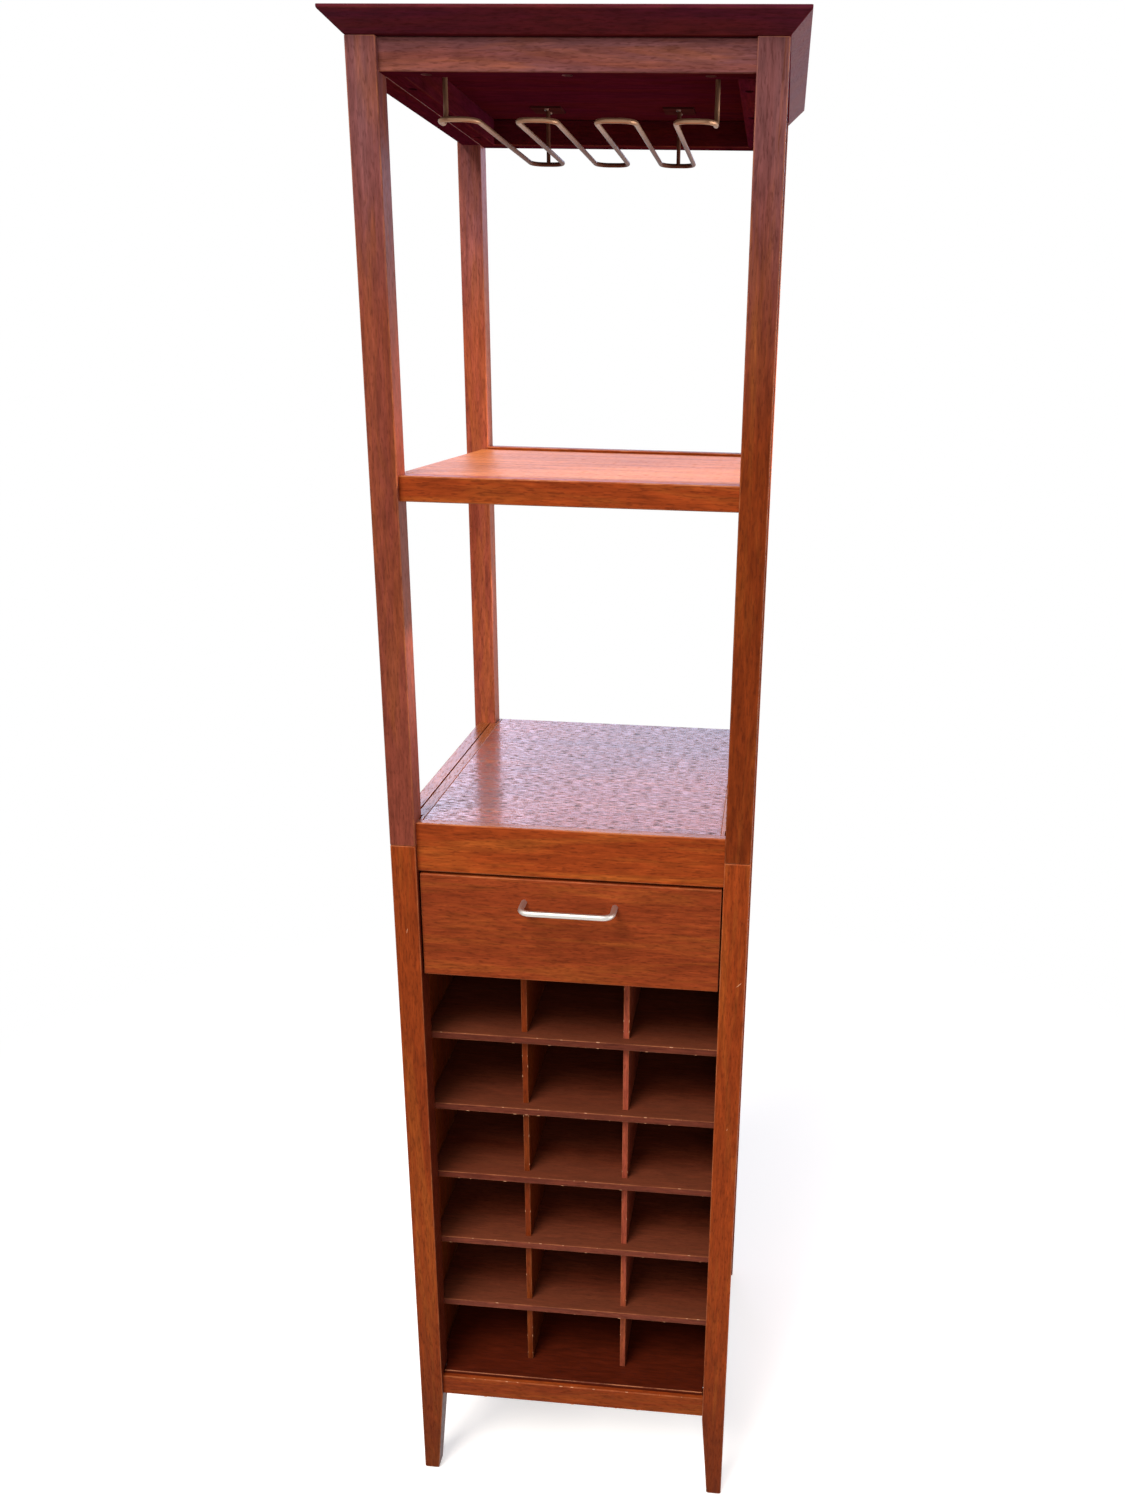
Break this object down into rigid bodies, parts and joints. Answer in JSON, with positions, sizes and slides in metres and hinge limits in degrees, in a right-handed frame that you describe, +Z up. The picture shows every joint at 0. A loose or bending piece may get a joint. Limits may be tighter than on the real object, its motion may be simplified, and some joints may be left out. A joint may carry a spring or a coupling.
{
  "type": "bottle cabinet",
  "caption": "Tall stained-wood cabinet on tapered legs with a bottle grid, an inset drawer, a deck, an open shelf and a hanging wire rack for stemware.",
  "frame": {"origin": "on the floor, midway between left and right and between the pull's front and the posts' rear faces", "axes": "+Z up, front of the cabinet towards -Y, +X to the right as seen from the front"},
  "size_m": [0.432, 0.4482, 1.697],
  "materials": {
    "stained_wood": "red-brown stain, semi-gloss lacquer",
    "veneer": "red-brown veneer, semi-gloss lacquer",
    "inner_wood": "plain wood and plywood, thin stain",
    "nickel": "satin nickel plate",
    "screw_steel": "plain zinc-plated steel"
  },
  "bodies": {
    "cabinet": {"back_panel": "inner_wood", "bottom_panel": "veneer", "bottom_rail_front": "stained_wood", "bottom_rail_left": "stained_wood", "bottom_rail_rear": "stained_wood", "bottom_rail_right": "stained_wood", "deck_lipping_left": "stained_wood", "deck_lipping_right": "stained_wood", "deck_panel": "veneer", "deck_rail_front": "stained_wood", "deck_rail_left": "stained_wood", "deck_rail_rear": "stained_wood", "deck_rail_right": "stained_wood", "drawer_guide_left": "inner_wood", "drawer_guide_right": "inner_wood", "drawer_stops": "inner_wood", "dust_panel": "inner_wood", "grid_divider_left": "stained_wood", "grid_divider_right": "stained_wood", "grid_shelf_1": "stained_wood", "grid_shelf_2": "stained_wood", "grid_shelf_3": "stained_wood", "grid_shelf_4": "stained_wood", "grid_shelf_5": "stained_wood", "lower_post_front_left": "stained_wood", "lower_post_front_right": "stained_wood", "lower_post_rear_left": "stained_wood", "lower_post_rear_right": "stained_wood", "post_dowels": "inner_wood", "rack_hangers": "nickel", "rack_plates": "nickel", "rack_screws": "screw_steel", "rack_wire": "nickel", "shelf_cleat_front": "stained_wood", "shelf_cleat_rear": "stained_wood", "shelf_panel": "veneer", "shelf_rail_front": "stained_wood", "shelf_rail_rear": "stained_wood", "side_panel_left": "veneer", "side_panel_right": "veneer", "top_cleat_left": "stained_wood", "top_cleat_right": "stained_wood", "top_panel": "stained_wood", "top_rail_front": "stained_wood", "top_rail_left": "stained_wood", "top_rail_rear": "stained_wood", "top_rail_right": "stained_wood", "top_screws": "screw_steel", "upper_post_front_left": "stained_wood", "upper_post_front_right": "stained_wood", "upper_post_rear_left": "stained_wood", "upper_post_rear_right": "stained_wood"},
    "drawer": {"drawer_front": "stained_wood", "drawer_side_left": "inner_wood", "drawer_side_right": "inner_wood", "drawer_back": "inner_wood", "drawer_bottom": "inner_wood", "pull": "nickel", "pull_screws": "screw_steel"}
  },
  "joints": [
    {"name": "drawer_slide", "type": "slide", "parent": "cabinet", "child": "drawer", "axis": [0, -1, 0], "range_m": [0, 0.28]}
  ]
}
